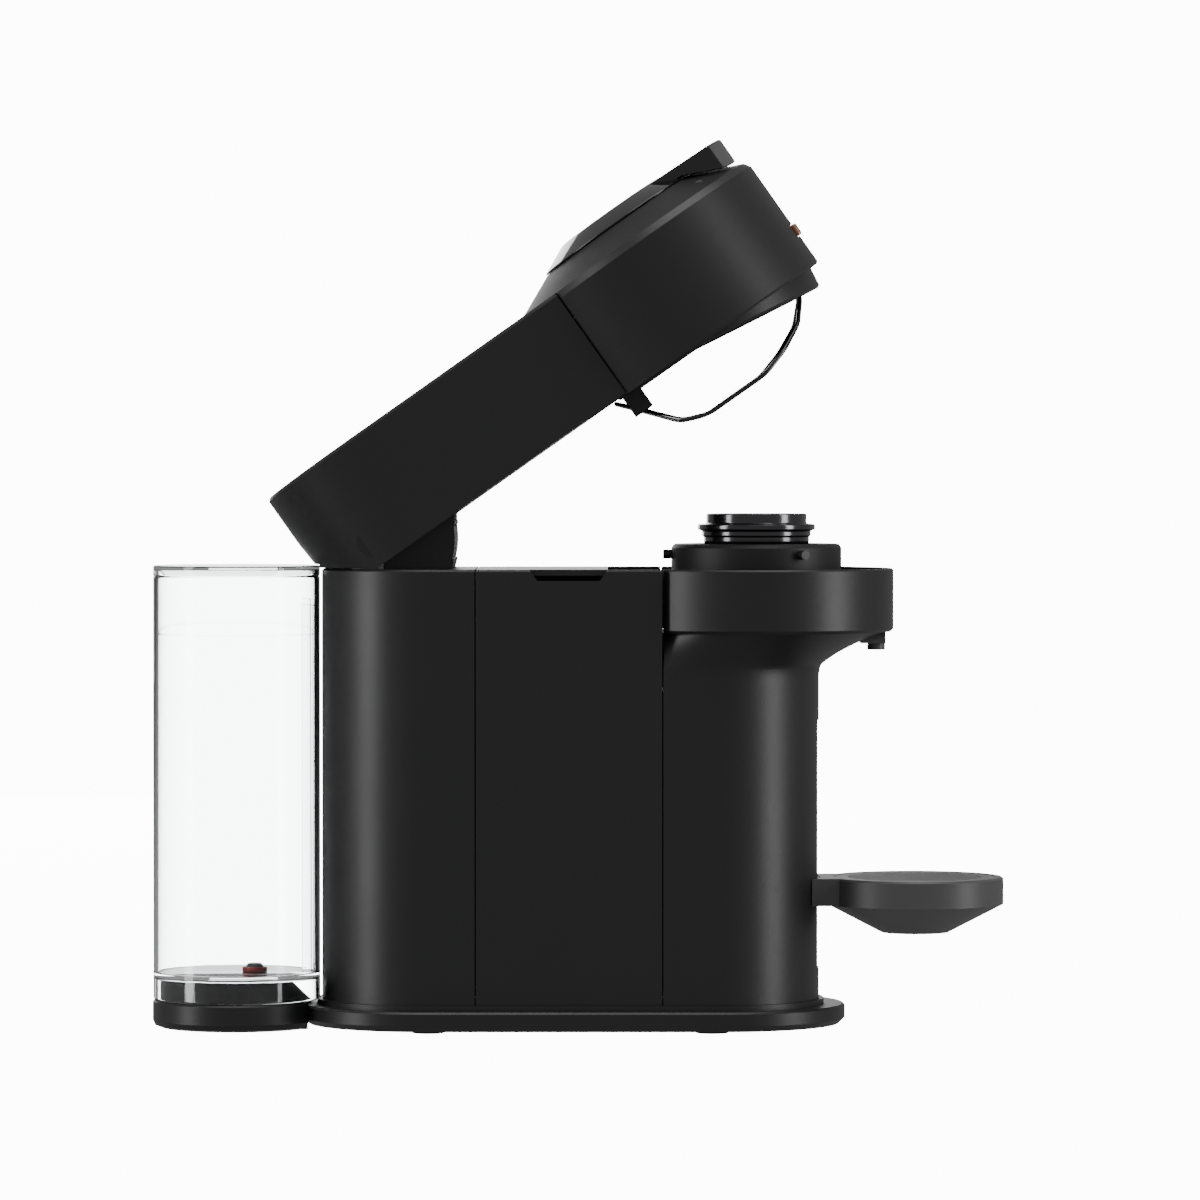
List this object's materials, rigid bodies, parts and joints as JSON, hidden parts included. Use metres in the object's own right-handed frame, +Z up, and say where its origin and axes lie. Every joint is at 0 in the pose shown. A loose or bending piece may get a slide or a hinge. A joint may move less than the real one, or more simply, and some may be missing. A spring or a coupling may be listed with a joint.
{
  "type": "pod coffee machine",
  "caption": "Pod coffee machine with a slim upright body, a swing-open brewing head, a round clear water tank behind and a cup support in front.",
  "frame": {"origin": "on the table, under the middle of the machine's outer box", "axes": "+X to the front, where the cup stands, +Z up"},
  "size_m": [0.4298, 0.142, 0.4477],
  "materials": {
    "matte_black": "satin moulded, nearly black",
    "soft_black": "fine matte",
    "gloss_black": "high gloss",
    "dark_grey": "satin dark grey",
    "rubber": "matte",
    "clear": "clear moulded plastic",
    "red_seal": "satin",
    "holder_metal": "dark bright metal",
    "steel": "brushed",
    "copper": "rose gold anodised",
    "pump_white": "moulded",
    "board_green": "printed board",
    "hose": "soft hose"
  },
  "bodies": {
    "base": {"base_plate": "matte_black", "rubber_feet": "rubber", "rear_cover": "matte_black", "far_side_wall": "matte_black", "front_column": "matte_black", "body_floor": "soft_black", "brew_ring": "matte_black", "funnel": "matte_black", "spout": "dark_grey", "bayonet_collar": "soft_black", "collar_pins": "matte_black", "seat_bearing": "dark_grey", "spin_motor": "steel", "hinge_drum": "soft_black", "hinge_cheeks": "steel", "hinge_pin": "steel", "hinge_springs": "steel", "tank_platform": "matte_black", "tank_boss": "soft_black", "mains_inlet": "soft_black", "water_pump": "pump_white", "pump_mounts": "rubber", "water_heater": "steel", "flow_meter": "pump_white", "control_board": "board_green"},
    "container": {"container_panel": "matte_black", "container_bin": "soft_black"},
    "tank": {"tank_wall": "clear", "tank_valve": "red_seal"},
    "lid": {"tank_lid": "clear"},
    "holder": {"capsule_holder": "holder_metal"},
    "head": {"arm_shell": "matte_black", "head_drum": "matte_black", "head_shoulder": "soft_black", "head_plate": "dark_grey", "ejector_hoop": "holder_metal", "hoop_bracket": "soft_black", "water_hose": "hose"},
    "button": {"brew_button": "copper"},
    "lever": {"top_disc": "gloss_black", "lock_lever": "gloss_black", "lock_ring": "dark_grey"},
    "spindle": {"piercing_spindle": "steel"},
    "carrier": {"brew_carrier": "matte_black"},
    "cup": {"cup_support": "dark_grey", "drip_insert": "dark_grey", "support_tongue": "dark_grey"}
  },
  "joints": [
    {"name": "head_hinge", "type": "hinge", "parent": "base", "child": "head", "pos_m": [-0.1007, 0, 0.2463], "axis": [0, 1, 0], "range_deg": [0, 35.2]},
    {"name": "lever_turn", "type": "hinge", "parent": "head", "child": "lever", "pos_m": [0.02417, 0, 0.40011], "axis": [-0.5764, 0, 0.8171], "range_deg": [0, 38]},
    {"name": "carrier_tilt", "type": "hinge", "parent": "head", "child": "carrier", "pos_m": [0.05949, 0, 0.34657], "axis": [0, 1, 0], "range_deg": [-8.8, 0]},
    {"name": "button_press", "type": "slide", "parent": "head", "child": "button", "axis": [-0.8171, 0, -0.5764], "range_m": [0, 0.0015], "stiffness_N_per_m": 500, "springref_m": -0.001},
    {"name": "spindle_spin", "type": "hinge", "parent": "head", "child": "spindle", "pos_m": [0.04147, 0, 0.37559], "axis": [-0.5764, 0, 0.8171], "continuous": true},
    {"name": "holder_spin", "type": "hinge", "parent": "base", "child": "holder", "pos_m": [0.09, 0, 0.22], "axis": [0, 0, 1], "continuous": true},
    {"name": "tank_lift", "type": "slide", "parent": "base", "child": "tank", "axis": [-0.7071, 0, 0.7071], "range_m": [0, 0.1]},
    {"name": "lid_lift", "type": "slide", "parent": "tank", "child": "lid", "axis": [-0.7071, 0, 0.7071], "range_m": [0, 0.06]},
    {"name": "container_slide", "type": "slide", "parent": "base", "child": "container", "axis": [0, -1, 0], "range_m": [0, 0.11]},
    {"name": "cup_height", "type": "slide", "parent": "base", "child": "cup", "axis": [0, 0, 1], "range_m": [-0.02, 0.06]}
  ],
  "couplings": [
    {"joint": "carrier_tilt", "follows": "head_hinge", "ratio": -0.24631}
  ]
}
